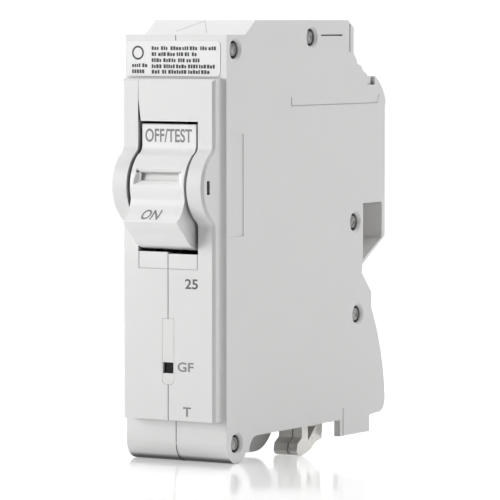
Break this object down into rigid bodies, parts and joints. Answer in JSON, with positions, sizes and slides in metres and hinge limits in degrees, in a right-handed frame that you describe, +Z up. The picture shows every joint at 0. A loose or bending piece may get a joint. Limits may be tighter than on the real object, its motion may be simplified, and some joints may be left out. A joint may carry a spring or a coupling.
{
  "type": "circuit breaker",
  "caption": "One-pole plug-on circuit breaker with ground-fault protection, rocker handle, riveted moulded case and modelled mechanism.",
  "frame": {"origin": "middle of the overall footprint, at the level of the lowest point, which is the load clip's underside", "axes": "+Z up along the case's height, -Y towards the user and the rocker, +X towards the case half with the clip and stab openings"},
  "size_m": [0.0254, 0.0802, 0.0969],
  "materials": {
    "case": "satin moulded thermoset, near white",
    "rocker": "satin moulded, white",
    "rivet_steel": "plated steel",
    "label_paper": "satin printed film",
    "pin_steel": "plain ground steel",
    "spring_steel": "spring wire",
    "flag_plastic": "white moulded",
    "strip_plastic": "polished",
    "lens_plastic": "dark, polished",
    "lamp_plastic": "clear red",
    "plated_copper": "tin-plated copper alloy",
    "copper": "bare copper",
    "silver_contact": "silver alloy",
    "fibre": "vulcanised fibre",
    "zinc_steel": "zinc-plated",
    "bimetal": "rolled",
    "lead_white": "insulated wire",
    "lead_black": "insulated wire",
    "braid_copper": "bare braid",
    "core_resin": "epoxy-coated core",
    "enamel_wire": "enamelled copper",
    "divider_sheet": "moulded",
    "board": "solder-masked laminate",
    "chip": "moulded",
    "capacitor_can": "sleeved can",
    "varistor_disc": "dipped",
    "bobbin": "moulded nylon"
  },
  "bodies": {
    "case": {"right_shell": "case", "left_shell": "case", "rivets": "rivet_steel", "label": "label_paper", "rocker_pin": "pin_steel", "rocker_spring": "spring_steel", "indicator_strip": "strip_plastic", "indicator_lens": "lens_plastic", "indicator_lamp": "lamp_plastic", "load_clip": "plated_copper", "neutral_clip": "plated_copper", "line_jaw": "plated_copper", "line_strap": "copper", "fixed_contact": "silver_contact", "arc_chute_frame": "fibre", "arc_plates": "zinc_steel", "mechanism_frame": "zinc_steel", "mechanism_pins": "pin_steel", "arm_spring": "spring_steel", "magnet_yoke": "zinc_steel", "bimetal_strip": "bimetal", "load_bracket": "plated_copper", "calibration_screw": "zinc_steel", "braid": "braid_copper", "load_lead": "lead_black", "neutral_lead": "lead_white", "sensor_core": "core_resin", "sensor_winding": "enamel_wire", "divider_plate": "divider_sheet", "circuit_board": "board", "controller_chip": "chip", "capacitors": "capacitor_can", "varistor": "varistor_disc", "test_leaf": "spring_steel", "solenoid_frame": "zinc_steel", "solenoid_bobbin": "bobbin", "solenoid_winding": "enamel_wire", "plunger_spring": "spring_steel"},
    "rocker": {"rocker_handle": "rocker"},
    "arm": {"contact_arm": "copper", "moving_contact": "silver_contact"},
    "flag": {"trip_flag": "flag_plastic"},
    "cradle_lever": {"cradle": "zinc_steel"},
    "armature_plate": {"armature": "zinc_steel"},
    "plunger": {"solenoid_plunger": "zinc_steel"}
  },
  "joints": [
    {"name": "rocker_hinge", "type": "hinge", "parent": "case", "child": "rocker", "pos_m": [0, -0.02882, 0.0614], "axis": [1, 0, 0], "range_deg": [0, 25]},
    {"name": "arm_hinge", "type": "hinge", "parent": "case", "child": "arm", "pos_m": [0, -0.00967, 0.07385], "axis": [1, 0, 0], "range_deg": [-15, 0], "deforming": ["arm_spring"]},
    {"name": "cradle_hinge", "type": "hinge", "parent": "case", "child": "cradle_lever", "pos_m": [0, -0.01517, 0.08235], "axis": [1, 0, 0], "range_deg": [0, 12]},
    {"name": "armature_hinge", "type": "hinge", "parent": "case", "child": "armature_plate", "pos_m": [0, -0.00267, 0.05485], "axis": [1, 0, 0], "range_deg": [0, 5], "stiffness_Nm_per_rad": 0.02},
    {"name": "flag_hinge", "type": "hinge", "parent": "case", "child": "flag", "pos_m": [0, -0.02882, 0.0614], "axis": [1, 0, 0], "range_deg": [-16, 0]},
    {"name": "plunger_slide", "type": "slide", "parent": "case", "child": "plunger", "axis": [0, -1, 0], "range_m": [0, 0.0024], "stiffness_N_per_m": 150}
  ],
  "couplings": [
    {"joint": "arm_hinge", "follows": "rocker_hinge", "ratio": -0.6},
    {"joint": "flag_hinge", "follows": "armature_hinge", "ratio": -3.2}
  ]
}
